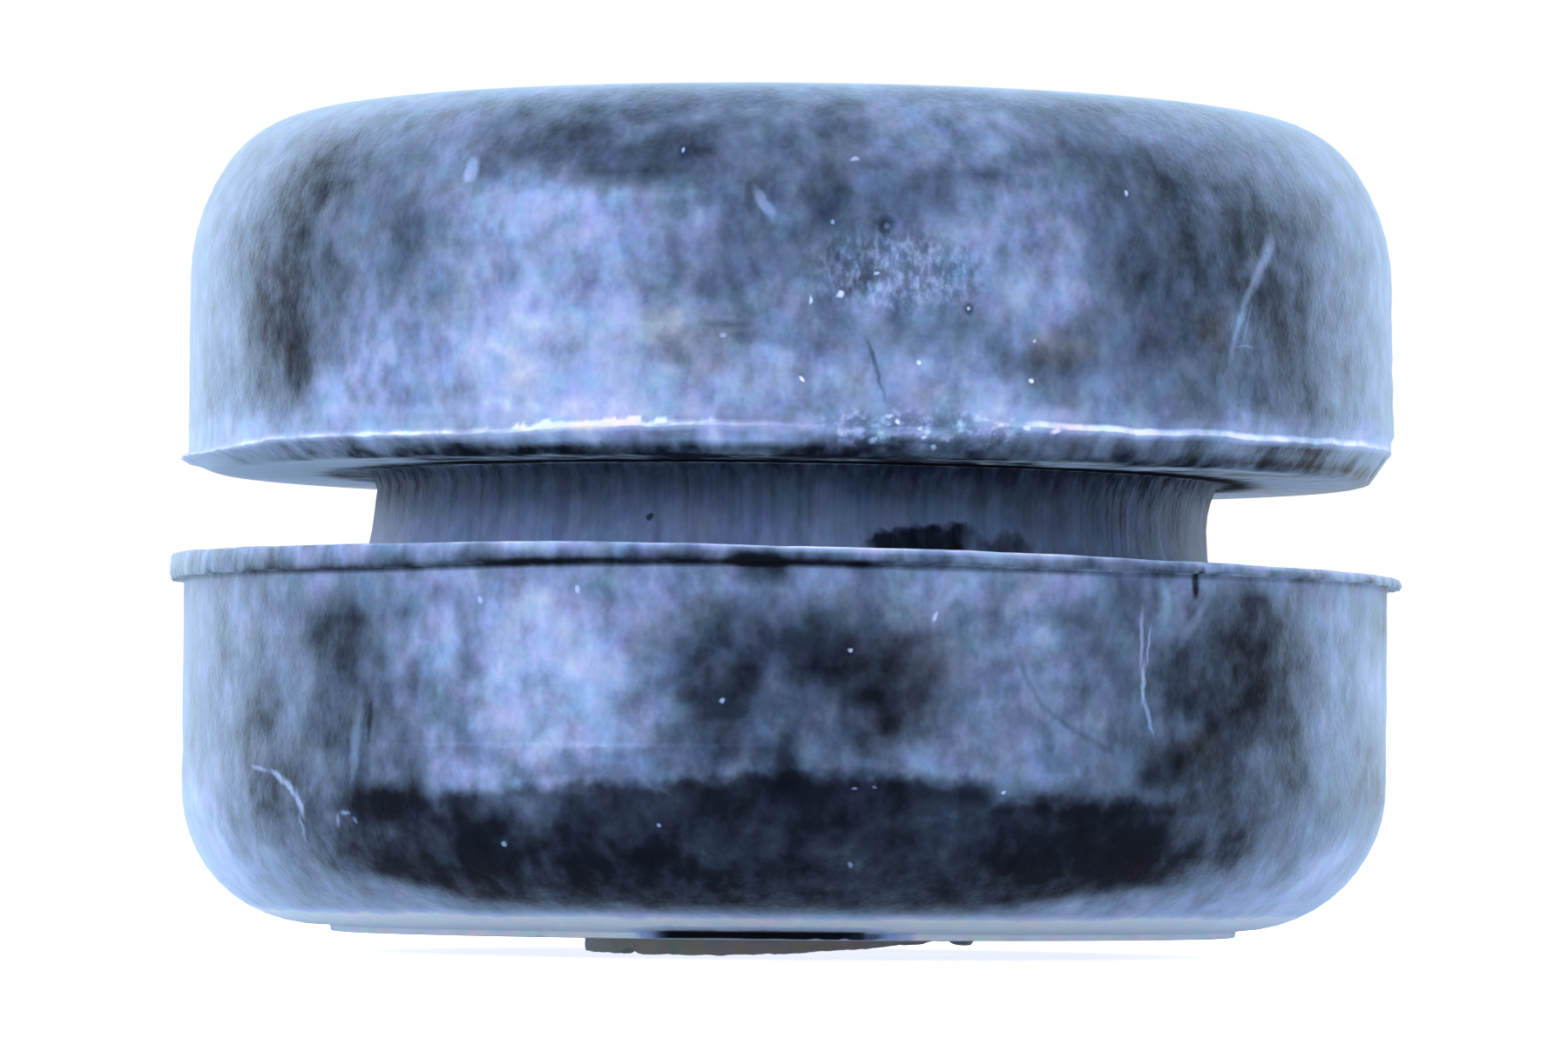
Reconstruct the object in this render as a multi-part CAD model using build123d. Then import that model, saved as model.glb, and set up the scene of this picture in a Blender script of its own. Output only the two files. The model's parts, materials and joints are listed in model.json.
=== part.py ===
from build123d import *
import os
from math import atan2, degrees

# Stabilizer link bushing, moulded in one piece of solid rubber. Two round lobes are joined by a
# narrow waist, and the groove between them grips the edge of a bracket's hole. The link bolt runs
# down the bore. The bore axis is Z, and the origin lies on it, level with the lowest point of the
# torn collar that the bushing stands on. Sizes are in millimetres, and -X is the side where the
# moulding flash is thickest.

# Main sizes
outer_diameter = 34.0
bore_diameter = 10.0
waist_diameter = 23.6
lower_lobe_height = 10.35
groove_width = 2.5
upper_lobe_height = 10.15

# Shoulder of the upper lobe. It is taller than it is wide, so it is a large arc out of the wall that
# runs into a tighter corner at the end face. The lower shoulder is a plain radius out to the land.
upper_shoulder_width = 3.65
upper_shoulder_height = 4.65
upper_corner_radius = 3.2

# Raised flat land that the washer presses on at the lower end
land_diameter = 25.6
land_height = 0.2

# The waist is hollow: it flares out over this height where it meets each groove face
waist_flare = 0.32
flare_height = 0.8

# Flash left round the lower lobe's rim, sliced off at a slant that leaves it highest at -X
flash_reach = 0.42
flash_thickness = 0.45
flash_slant = 0.45

# Bevel that a knife left round the upper lobe's rim when its flash was trimmed, highest at +X
bevel_width = 0.65
bevel_height = 0.72
bevel_slant = 0.4

# Torn remains of a moulded collar round the lower mouth of the bore, torn away towards +X
collar_wall = 0.6
collar_depth = 0.55
tear_start = 0.8
tear_rise = 0.47

# How far cutting tools run past the rubber that they cut
overrun = 1.0

lobe_radius = outer_diameter / 2
bore_radius = bore_diameter / 2
waist_radius = waist_diameter / 2
collar_radius = bore_radius + collar_wall
end_face_z = collar_depth
lower_rim_z = end_face_z + lower_lobe_height
upper_rim_z = lower_rim_z + groove_width
top_z = upper_rim_z + upper_lobe_height


def turned(*outline):
    """Turn a closed outline, drawn as radius and height, about the bore axis."""
    return revolve(Plane.XZ * make_face(Curve() + list(outline)), Axis.Z)


def lower_lobe():
    """Raised land, shoulder, wall and flash, sliced off by the slanted lower face of the groove."""
    land_radius = land_diameter / 2
    shoulder_radius = lobe_radius - land_radius
    wall_z = end_face_z + land_height + shoulder_radius
    flash_z = lower_rim_z - flash_thickness
    flash_radius = lobe_radius + flash_reach
    blank_z = lower_rim_z + flash_slant
    land = Polyline(
        (0, blank_z),
        (0, end_face_z),
        (land_radius, end_face_z),
        (land_radius, end_face_z + land_height),
    )
    shoulder = CenterArc((land_radius, wall_z), shoulder_radius, start_angle=270, arc_size=90)
    rim = Polyline(
        (lobe_radius, wall_z),
        (lobe_radius, flash_z),
        (flash_radius, flash_z),
        (flash_radius, blank_z),
        (0, blank_z),
    )
    sliced_face = Plane(origin=(0, 0, lower_rim_z), z_dir=(flash_slant, 0, outer_diameter))
    return split(turned(land, shoulder, rim), bisect_by=sliced_face, keep=Keep.BOTTOM)


def bevel_cutter():
    """Ring whose inner face is the cone that the trimming knife left, tilted up towards +X."""
    rise = bevel_height / bevel_width
    outer = lobe_radius + overrun
    inner = lobe_radius - bevel_width - overrun
    foot = -bevel_height - overrun * rise
    cone = turned(Polyline((inner, foot), (outer, foot), (outer, overrun * rise), close=True))
    tilt = degrees(atan2(bevel_slant, outer_diameter))
    return Pos(0, 0, upper_rim_z + bevel_height) * Rot(0, -tilt, 0) * cone


def upper_shoulder(wall_z):
    """Two arcs that meet smoothly: a large one out of the wall and the corner at the end face."""
    corner_x = lobe_radius - upper_shoulder_width
    corner_rise = upper_shoulder_height - upper_corner_radius
    spare_width = upper_shoulder_width - upper_corner_radius
    large_radius = upper_corner_radius + (spare_width**2 + corner_rise**2) / (2 * spare_width)
    centre_gap = large_radius - upper_shoulder_width
    turn = degrees(atan2(corner_rise, centre_gap))
    large = CenterArc((corner_x - centre_gap, wall_z), large_radius, start_angle=0, arc_size=turn)
    corner = CenterArc(
        (corner_x, wall_z + corner_rise), upper_corner_radius, start_angle=turn, arc_size=90 - turn
    )
    return large + corner


def upper_lobe():
    """Flat groove face, wall, shoulder and flat end, with the bevel cut off."""
    wall_z = top_z - upper_shoulder_height
    rim = Polyline((0, top_z), (0, upper_rim_z), (lobe_radius, upper_rim_z), (lobe_radius, wall_z))
    end = Line((lobe_radius - upper_shoulder_width, top_z), (0, top_z))
    return turned(rim, upper_shoulder(wall_z), end) - bevel_cutter()


def waist():
    """Neck between the lobes, narrowest in the middle and coned out to each groove face."""
    flared_radius = waist_radius + waist_flare
    neck = Polyline(
        (0, lower_rim_z - flash_slant),
        (flared_radius, lower_rim_z - flash_slant),
        (flared_radius, lower_rim_z),
        (waist_radius, lower_rim_z + flare_height),
        (waist_radius, upper_rim_z - flare_height),
        (flared_radius, upper_rim_z),
        (0, upper_rim_z),
        close=True,
    )
    return turned(neck)


def torn_collar():
    """Short tube round the bore, whose lower edge climbs in a slope where it was torn away."""
    reach = collar_radius + overrun
    slope = tear_rise / (collar_radius - tear_start)
    tear = Polyline(
        (tear_start, 0),
        (reach, slope * (reach - tear_start)),
        (reach, -overrun),
        (tear_start, -overrun),
        close=True,
    )
    wedge = extrude(Plane.XZ * make_face(tear), amount=reach, both=True)
    tube = Pos(0, 0, end_face_z / 2) * Cylinder(collar_radius, end_face_z)
    return tube - wedge


def bore():
    """Plain hole for the link bolt."""
    return Pos(0, 0, top_z / 2) * Cylinder(bore_radius, top_z + 2 * overrun)


rubber_bushing = lower_lobe() + waist() + upper_lobe() + torn_collar() - bore()
rubber_bushing.label = "rubber_bushing"

os.makedirs("parts", exist_ok=True)
export_step(rubber_bushing, "parts/rubber_bushing.step")
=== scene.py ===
import json
from math import atan2, cos, pi, radians, sin

import bpy
import numpy as np
from mathutils import Matrix, Vector, noise


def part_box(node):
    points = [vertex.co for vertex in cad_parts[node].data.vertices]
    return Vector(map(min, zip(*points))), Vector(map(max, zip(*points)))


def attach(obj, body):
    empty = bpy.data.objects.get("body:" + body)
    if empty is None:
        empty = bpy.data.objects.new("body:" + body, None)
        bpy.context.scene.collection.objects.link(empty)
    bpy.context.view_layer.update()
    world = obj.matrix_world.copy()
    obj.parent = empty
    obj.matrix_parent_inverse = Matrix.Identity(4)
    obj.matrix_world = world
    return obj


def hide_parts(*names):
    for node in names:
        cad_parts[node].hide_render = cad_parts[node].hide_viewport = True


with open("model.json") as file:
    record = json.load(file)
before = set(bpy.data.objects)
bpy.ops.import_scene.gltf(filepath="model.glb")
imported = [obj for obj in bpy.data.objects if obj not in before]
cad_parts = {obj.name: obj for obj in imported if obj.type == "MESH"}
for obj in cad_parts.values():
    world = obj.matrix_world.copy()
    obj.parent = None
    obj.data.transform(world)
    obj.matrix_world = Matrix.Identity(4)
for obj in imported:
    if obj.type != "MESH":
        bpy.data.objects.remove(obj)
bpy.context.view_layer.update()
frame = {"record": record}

# The moulding
# The bushing is one moulding of solid rubber, turned about the bore. Its whole skin is one closed
# sheet of rings that runs up the outside and back down the bore. Each ring is a radius and a height
# for every column of the sheet. A column's turn is 0 at the front, on -Y, and grows towards +X.
mm = 0.001
wall_radius = 17.0
arc_per_degree = wall_radius * pi / 180
columns = 920
front_crowding = 0.35

record = frame["record"]
mounts = {mount["name"]: mount for mount in record["mounts"]}
floor_corner, top_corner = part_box("rubber_bushing")
top_z = top_corner.z
end_face_z = mounts["lower_washer_seat"]["pos_m"][2]
bore_radius = mounts["bolt_bore"]["dims"]["r_mm"] * mm
waist_radius = mounts["bracket_groove"]["dims"]["r_mm"] * mm
groove_width = mounts["bracket_groove"]["dims"]["length_mm"] * mm
lower_rim_z = mounts["bracket_groove"]["pos_m"][2] - groove_width / 2
upper_rim_z = lower_rim_z + groove_width
flash_reach = 0.42 * mm
lobe_radius = top_corner.x - flash_reach

span = np.linspace(-1, 1, columns, endpoint=False)
turn = pi * ((1 - front_crowding) * span + front_crowding * span**3)
sideways = np.sin(turn)
rings = []


def ring(radius, height, film=0.0):
    """Add one ring to the skin, with how much more or less bloom film there is along it."""
    rings.append(np.array([radius + 0 * turn, height + 0 * turn, film + 0 * turn]))


def waver(waves, seed, octaves=4):
    """Uneven line round the bushing, from about -1 to 1, with so many waves in a whole turn."""
    reach = waves / (2 * pi)
    places = [Vector((sin(t) * reach, cos(t) * reach, 7.31 * seed)) for t in turn]
    return 1.6 * np.array([noise.fractal(place, 0.8, 2.0, octaves) for place in places])


def along(points, unit=1.0):
    """Line through given points of turn in degrees and value, the same at -180 and 180."""
    turns, values = zip(*points)
    return np.interp(np.degrees(turn), turns, values) * unit


def lump(at, half_width):
    """Soft bump of height 1 at one turn, in degrees, that fades out over half_width degrees."""
    away = np.abs((np.degrees(turn) - at + 180) % 360 - 180) / half_width
    return np.clip(1 - away, 0, 1) ** 2 * (1 + 2 * np.clip(away, 0, 1))


# Torn collar round the lower mouth
# A thin sleeve was moulded round the bore and torn off, which left a stub that is deepest at the
# left and runs out in a slope towards the right, with a notch near its left end and a hanging tag.
collar_radius = 5.6 * mm
shallowest = 0.03
deepest = 0.549
across_turn = (-5.6, -2.4, 0, 1.2, 2.5, 3.7, 4.4, 5.6)
torn_depth = (0.52, 0.55, 0.48, 0.42, 0.32, 0.21, 0.12, 0.06)
notch = 0.13 * lump(-50.5, 5)
tag = 0.16 * lump(71, 6)
collar_depth = np.interp(collar_radius / mm * sideways, across_turn, torn_depth)
collar_depth += 0.02 * waver(60, 1) - notch + tag
collar_depth = np.clip(collar_depth, shallowest, deepest) * mm
collar_foot = end_face_z - collar_depth
ring(bore_radius, end_face_z)
ring(bore_radius + 0.02 * mm, collar_foot + 0.12 * mm * collar_depth / collar_depth.max())
ring(bore_radius + 0.16 * mm, collar_foot + 0.01 * mm)
ring(collar_radius - 0.2 * mm, collar_foot)
ring(collar_radius - 0.03 * mm, collar_foot + 0.06 * collar_depth)
ring(collar_radius, collar_foot + 0.3 * collar_depth)
ring(collar_radius, end_face_z - 0.03 * mm)

# Lower end face, land and shoulder
# The washer presses on a flat land that the mould left 0.2 mm proud. The shoulder is a plain radius
# from the land to the wall.
land_radius = 12.8 * mm
land_height = 0.2 * mm
lower_shoulder_width = lobe_radius - land_radius
lower_shoulder_height = 4.05 * mm
shoulder_steps = 12
left_bulge = 0.11 * mm
nick_depth = 0.05 * mm
nicks = sum(lump(at, wide) for at, wide in ((4, 1.2), (7.5, 0.9), (12, 1.5), (14.5, 0.8), (-31, 1)))
land_fall = 0.03 * mm * waver(14, 3) + nick_depth * nicks
ring(collar_radius + 0.05 * mm, end_face_z)
ring(8 * mm, end_face_z)
ring(11 * mm, end_face_z)
# The land's edge is made paler at the sides, a painted reflection of the white table, and darker in
# front; the first rings of the shoulder take part of it
land_film = along(
    (
        (-180, 0.1), (-60, 0.15), (-36, 0.3), (-21, 0.3), (-17, -0.5), (-13, -1.3), (4, -1.4),
        (9, -1.2), (13, -0.5), (18, 0.1), (30, 0.3), (60, 0.15), (180, 0.1),
    )
)
land_film = land_film + 0.12 * waver(120, 21)
ring(land_radius - 0.12 * mm, end_face_z, 0.1)
ring(land_radius - 0.02 * mm, end_face_z + 0.02 * mm + np.maximum(land_fall, 0), land_film)
ring(land_radius, end_face_z + land_height - 0.03 * mm, land_film)
left_share = np.clip(-sideways, 0, 1) ** 2
for step in range(shoulder_steps):
    lean = pi / 2 * (step + 0.25) / shoulder_steps
    fuller = left_bulge * left_share * sin(2 * lean)
    ring(
        land_radius + lower_shoulder_width * sin(lean) + fuller,
        end_face_z + land_height + lower_shoulder_height * (1 - cos(lean)) - fuller,
        land_film * max(0, 1.2 - 0.5 * step),
    )

# Lower wall
# The side of the lobe, as the mould left it, with shallow dents from handling.
wall_foot = end_face_z + land_height + lower_shoulder_height
flash_foot = lower_rim_z - 0.45 * mm
lower_wall_head = flash_foot - 0.12 * mm
lower_wall_steps = 8
dent_depth = 0.012
for step in range(lower_wall_steps):
    share = (step + 0.3) / lower_wall_steps
    height = wall_foot + (lower_wall_head - wall_foot) * share
    ring(lobe_radius + dent_depth * mm * waver(30, 20 + 0.4 * step), height)

# Flash round the lower rim
# Rubber that squeezed out where the mould's halves met. It is a ragged lip, thick and hooked at the
# left and a thin drooping feather at the right, with painted shadow on the undercut below it.
lip_rise = along(
    (
        (-180, 0), (-57, 0), (-41, 0.03), (-30, 0.08), (-22, 0.11), (-11, 0.10), (-3, 0.08),
        (16, 0.08), (33, 0.02), (45, 0), (180, 0),
    ),
    mm,
)
rim_slant = 0.23 * mm
lip_top = lower_rim_z - rim_slant * sideways + lip_rise + 0.012 * mm * waver(50, 5)
lip_reach = flash_reach * np.clip(
    along(((-180, 0.7), (-90, 0.96), (-60, 0.75), (0, 0.62), (60, 0.72), (90, 0.9), (180, 0.7)))
    + 0.12 * waver(70, 6) - 0.25 * lump(-25, 9) + 0.2 * lump(3, 8),
    0.2,
    1,
)
lip_droop = along(
    (
        (-180, 0), (-100, 0), (-90, 1), (-80, 0.4), (-60, 0), (60, 0), (90, 0.8), (120, 0),
        (180, 0),
    )
)
lip_foot = flash_foot + along(
    (
        (-180, 0), (-40, 0), (-30, 0.04), (-24, 0.1), (-5, 0.13), (3, 0.1), (16, 0.05), (33, 0),
        (180, 0),
    ),
    mm,
)
lip_low = lip_foot + 0.3 * lip_rise - 0.07 * mm * lip_droop + 0.03 * mm * waver(60, 7)
lip_low = np.minimum(lip_low, lip_top - 0.09 * mm)
# Painted shadow under the lip: how far the film just below it is darkened, round the turn
lip_shadow = along(
    (
        (-180, 0.3), (-60, 0.25), (-48, 0.6), (-43, 0.75), (-36, 0.75), (-28, 0.7), (-22, 0.9),
        (-18, 0.8), (-11, 0.75), (-6, 0.85), (-3.5, 1), (0, 0.85), (5, 0.75), (10, 0.4), (25, 0.3),
        (32, 0.1), (40, 0.25), (60, 0.25), (180, 0.3),
    )
)
lip_shadow = np.clip(lip_shadow + 0.15 * waver(50, 15), 0, 1)
top_line = along(
    (
        (-180, 0.2), (-62, 0.35), (-50, 0.25), (-38, 0.35), (-24, 0.7), (-17, 0.4), (-9, 0.7),
        (-4, 1.1), (5, 1.1), (20, 0.8), (28, 0.5), (42, 0.3), (50, 0.6), (62, 0.5), (180, 0.2),
    )
)
top_line = np.clip(top_line + 0.25 * waver(130, 16), 0, 1.3)
face = 0.02 + 0.08 * waver(90, 17) - 0.12 * lump(24, 9) - 0.12 * lump(-3, 6)
ring(lobe_radius + 0.005 * mm, lip_foot - 0.16 * mm, 0.06)
ring(lobe_radius + 0.005 * mm, lip_foot - 0.1 * mm, -0.12 * lip_shadow)
ring(lobe_radius + 0.02 * mm, lip_foot - 0.015 * mm, -0.42 * lip_shadow)
ring(lobe_radius + 0.4 * lip_reach, 0.5 * (lip_foot + lip_low) + 0.03 * mm, -0.42 * lip_shadow)
ring(lobe_radius + 0.88 * lip_reach, lip_low, -0.42 * lip_shadow)
ring(lobe_radius + lip_reach, lip_low + 0.25 * (lip_top - lip_low), face - 0.18 * lip_shadow)
ring(lobe_radius + 0.97 * lip_reach, lip_low + 0.55 * (lip_top - lip_low), face - 0.04 * lip_shadow)
ring(lobe_radius + 0.9 * lip_reach, lip_top - 0.06 * mm, face + 0.2 * top_line)
ring(lobe_radius + 0.8 * lip_reach, lip_top, 0.5 * top_line)
ring(lobe_radius + 0.35 * lip_reach, lip_top + 0.015 * mm, 0.4 * top_line)
ring(lobe_radius - 0.3 * mm, lip_top)

# Groove and waist
# The bracket's edge sits in this groove. The waist between the two flat faces is hollow at the
# right and leans outwards towards its foot at the left.
slice_fall = rim_slant / (lobe_radius + flash_reach)
for radius in (15.2 * mm, 13.4 * mm, 12.35 * mm):
    ring(radius, lower_rim_z - slice_fall * radius * sideways)
under_fall = 0.07 * mm * sideways
waist_foot = lower_rim_z - slice_fall * waist_radius * sideways
waist_head = upper_rim_z - under_fall
waist_steps = 9
hollow_depth = 0.34 * mm
lean_depth = 0.28 * mm
right_share = 0.5 + 0.5 * np.tanh(2.5 * sideways)
for step in range(waist_steps):
    share = (1 - cos(pi * (step + 0.5) / waist_steps)) / 2
    hollow = waist_radius + hollow_depth * (2 * share - 1) ** 2
    leaning = waist_radius + 0.1 * mm - lean_depth * share + lean_depth * max(0, 8 * share - 7)
    radius = right_share * hollow + (1 - right_share) * leaning
    radius = radius + 0.01 * mm * waver(40, 30 + 0.5 * step)
    ring(radius, waist_foot + (waist_head - waist_foot) * share)
# Painted shade under the upper lobe: its underside film is darker, most on the rings next to the waist
# and towards either side
underside_shade_film = along(
    (
        (-180, -0.3), (-80, 0.02), (-58, 0.0), (-47, -0.1), (-40, -0.26), (-34, -0.25),
        (-20, -0.27), (-12, -0.32), (18, -0.32), (27, -0.24), (33, -0.2), (42, -0.18), (55, -0.18),
        (80, -0.1), (180, -0.3),
    )
)
left_shade = lump(-52, 24)
right_shade = lump(52, 20)
for radius, shaded in ((12.6 * mm, 0.1), (14 * mm, 0.08), (15.8 * mm, 0.03)):
    ring(radius, waist_head, underside_shade_film - shaded * left_shade - 0.6 * shaded * right_shade)

# Bevel and burr round the upper rim
# A knife trimmed this rim's flash to a slanted bevel and left a ragged burr along its upper line,
# which stands proud like a feather at the left.
bevel_height = 0.72 * mm
bevel_width = 0.6 * mm
bevel_foot_z = waist_head + 0.06 * mm
bevel_line = upper_rim_z + bevel_height + 0.2 * mm * sideways
bevel_line += along(
    (
        (-180, 0), (-90, -0.1), (-69, -0.08), (-57, 0.09), (-49, 0.09), (-33, 0.02), (-27, -0.02),
        (-21, 0.14), (-8, 0.12), (0, 0.05), (20, 0.08), (26, 0.05), (33, -0.03), (46, -0.07),
        (54, -0.12), (64, -0.07), (80, -0.03), (180, 0),
    ),
    mm,
)
burr = along(
    (
        (-180, 0.1), (-110, 0.25), (-95, 1), (-80, 0.9), (-60, 0.3), (0, 0.25), (90, 0.1),
        (180, 0.1),
    )
)
burr_reach = 0.18 * mm * burr * np.clip(1 + 0.5 * waver(120, 9), 0.2, 1.5)
bevel_line = bevel_line + 0.03 * mm * waver(80, 10)
# Painted shade: the bevel's film is thinner towards its foot beside the shaded waist, and changes along
# the turn
bevel_head = along(
    (
        (-180, -0.2), (-80, 0.02), (-48, -0.1), (-37, -0.1), (-28, 0.2), (-18, 0.15), (-12, 0.03),
        (-7, 0.15), (1, 0.14), (6, 0.1), (11, 0.3), (16, 0.04), (33, -0.08), (39, -0.18),
        (46, -0.12), (55, -0.2), (66, -0.12), (100, -0.2), (180, -0.2),
    )
)
bevel_middle = along(
    (
        (-180, -0.2), (-80, 0.02), (-48, -0.1), (-40, -0.12), (-33, -0.28), (-28, -0.04),
        (-22, 0.15), (-13, 0.03), (-7, 0.2), (1, 0.1), (8, -0.16), (16, -0.05), (25, -0.1),
        (39, -0.16), (46, -0.1), (55, -0.18), (66, -0.14), (180, -0.2),
    )
)
bevel_foot = along(
    (
        (-180, -0.2), (-80, 0.02), (-48, -0.16), (-41, -0.22), (-34, -0.32), (-14, -0.18),
        (-6, -0.1), (6, -0.24), (14, -0.15), (25, -0.14), (40, -0.24), (55, -0.3), (66, -0.24),
        (180, -0.2),
    )
)
bevel_patches = 0.07 * waver(140, 18)
line_film = along(
    (
        (-180, 0.2), (-80, 0.28), (-52, 0.26), (-41, 0.36), (-33, 0.42), (-28, 0.26), (-23, 0.5),
        (-17, 0.55), (-12, 0.4), (-7, 0.3), (-3, 0.22), (1, 0.1), (6, 0.02), (15, 0.08),
        (20.5, 0.08), (23, 0.42), (33, 0.5), (39, 0.38), (70, 0.4), (85, 0.2), (180, 0.2),
    )
)
line_film = np.clip(line_film * (1 + 0.3 * waver(150, 19)), 0, 0.62)
teeth = along(
    (
        (-180, 0), (-33, 0), (-27, 1), (-8, 1), (-1, 0), (180, 0),
    )
) * np.clip(waver(170, 20) + 0.3, 0, 1)
rim_film = bevel_foot + along(
    (
        (-180, 0), (-45, -0.05), (20, -0.05), (30, -0.08), (45, 0), (60, 0.09), (75, 0.05),
        (180, 0),
    )
)
ring(lobe_radius - 0.8 * mm, waist_head + 0.01 * mm, np.minimum(underside_shade_film, rim_film))
ring(lobe_radius - bevel_width, bevel_foot_z, rim_film)
for share, bevel_film in ((0.2, bevel_foot), (0.5, bevel_middle), (0.8, bevel_head)):
    ring(
        lobe_radius - bevel_width * (1 - share) + 0.02 * mm * waver(110, 11 + share),
        bevel_foot_z + (bevel_line - waist_head - 0.11 * mm) * share,
        bevel_film + bevel_patches,
    )
ring(lobe_radius + 0.5 * burr_reach, bevel_line - 0.055 * mm, 0.5 * (bevel_head + line_film))
ring(lobe_radius + burr_reach, bevel_line - 0.02 * mm, line_film)
ring(lobe_radius + 0.8 * burr_reach, bevel_line + 0.03 * mm, line_film)
line_spread = along(((-180, 0.45), (15, 0.45), (24, 0.95), (60, 0.9), (85, 0.45), (180, 0.45)))
ring(lobe_radius + 0.3 * burr_reach, bevel_line + 0.08 * mm, line_spread * line_film + 0.4 * teeth)
ring(lobe_radius, bevel_line + 0.16 * mm, 0.05 + 0.4 * teeth**2)
upper_wall_foot = bevel_line + 0.26 * mm
ring(lobe_radius, upper_wall_foot, 0.05)

# Upper wall
# The side of the upper lobe, as the mould left it. It flares a little towards its foot at the
# right, and a patch right of the front was rubbed rough.
upper_shoulder_height = 4.65 * mm
wall_head = top_z - upper_shoulder_height
upper_wall_steps = 14
rough_depth = 0.035
rough_middle = 17.4
rough_reach = 1.6
rough_turns = lump(16, 20)
right_flare = 0.1 * np.clip(sideways, 0, 1) ** 2
for step in range(upper_wall_steps):
    share = (step + 0.6) / upper_wall_steps
    height = upper_wall_foot + (wall_head - bevel_line - 0.26 * mm) * share
    rough = rough_turns * np.exp(-(((height / mm - rough_middle) / rough_reach) ** 2))
    dents = dent_depth * waver(30, 40 + 0.4 * step)
    scuffs = rough_depth * rough * waver(300, 60 + 1.3 * step, 3)
    ring(lobe_radius + (dents + scuffs + right_flare * (1 - share) ** 2) * mm, height)

# Upper shoulder and end face
# The shoulder is a large arc out of the wall that runs into a tighter corner. The end face is flat,
# and the bore's mouth has a small worn round.
upper_shoulder_width = 3.65 * mm
corner_radius = 3.2 * mm
arc_steps = 5
corner_steps = 10
corner_rise = upper_shoulder_height - corner_radius
spare_width = upper_shoulder_width - corner_radius
large_radius = corner_radius + (spare_width**2 + corner_rise**2) / (2 * spare_width)
meeting = atan2(corner_rise, large_radius - upper_shoulder_width)
for step in range(arc_steps):
    lean = meeting * step / arc_steps
    ring(lobe_radius - large_radius * (1 - cos(lean)), wall_head + large_radius * sin(lean))
for step in range(corner_steps + 1):
    lean = meeting + (pi / 2 - meeting) * step / corner_steps
    ring(
        lobe_radius - upper_shoulder_width + corner_radius * cos(lean),
        wall_head + corner_rise + corner_radius * sin(lean),
    )
mouth_round = 0.25 * mm
ring(11.5 * mm, top_z)
ring(8.5 * mm, top_z)
ring(bore_radius + mouth_round, top_z)
ring(bore_radius + 0.3 * mouth_round, top_z - 0.3 * mouth_round)
ring(bore_radius, top_z - mouth_round)
ring(bore_radius, top_z / 2)

# Skin of the moulding
# The rings joined up into one closed sheet, outside and bore together. The mould's halves met a
# little out of line, so everything above the lower rim sits slightly to the right.
offset = 0.09 * mm
sharp_edge = radians(50)
skin = np.array(rings)
ring_count = len(rings)
skin_x = skin[:, 0] * sideways
outside = skin[:, 0] > 1.5 * bore_radius
above_rim = np.clip((skin[:, 1] - lower_rim_z - 0.3 * mm) / (0.5 * mm), 0, 1)
skin_x += offset * above_rim * outside
xyz = np.stack([skin_x, -skin[:, 0] * np.cos(turn), skin[:, 1]], axis=-1)
row = np.arange(ring_count)[:, None]
column = np.arange(columns)[None, :]
next_row = (row + 1) % ring_count
next_column = (column + 1) % columns
quads = np.stack(
    [
        row * columns + column,
        row * columns + next_column,
        next_row * columns + next_column,
        next_row * columns + column,
    ],
    axis=-1,
).reshape(-1, 4)
mesh = bpy.data.meshes.new("bushing_skin")
mesh.from_pydata(xyz.reshape(-1, 3).tolist(), [], quads.tolist())
mesh.update()
mesh.shade_smooth()
mesh.set_sharp_from_angle(angle=sharp_edge)
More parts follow.
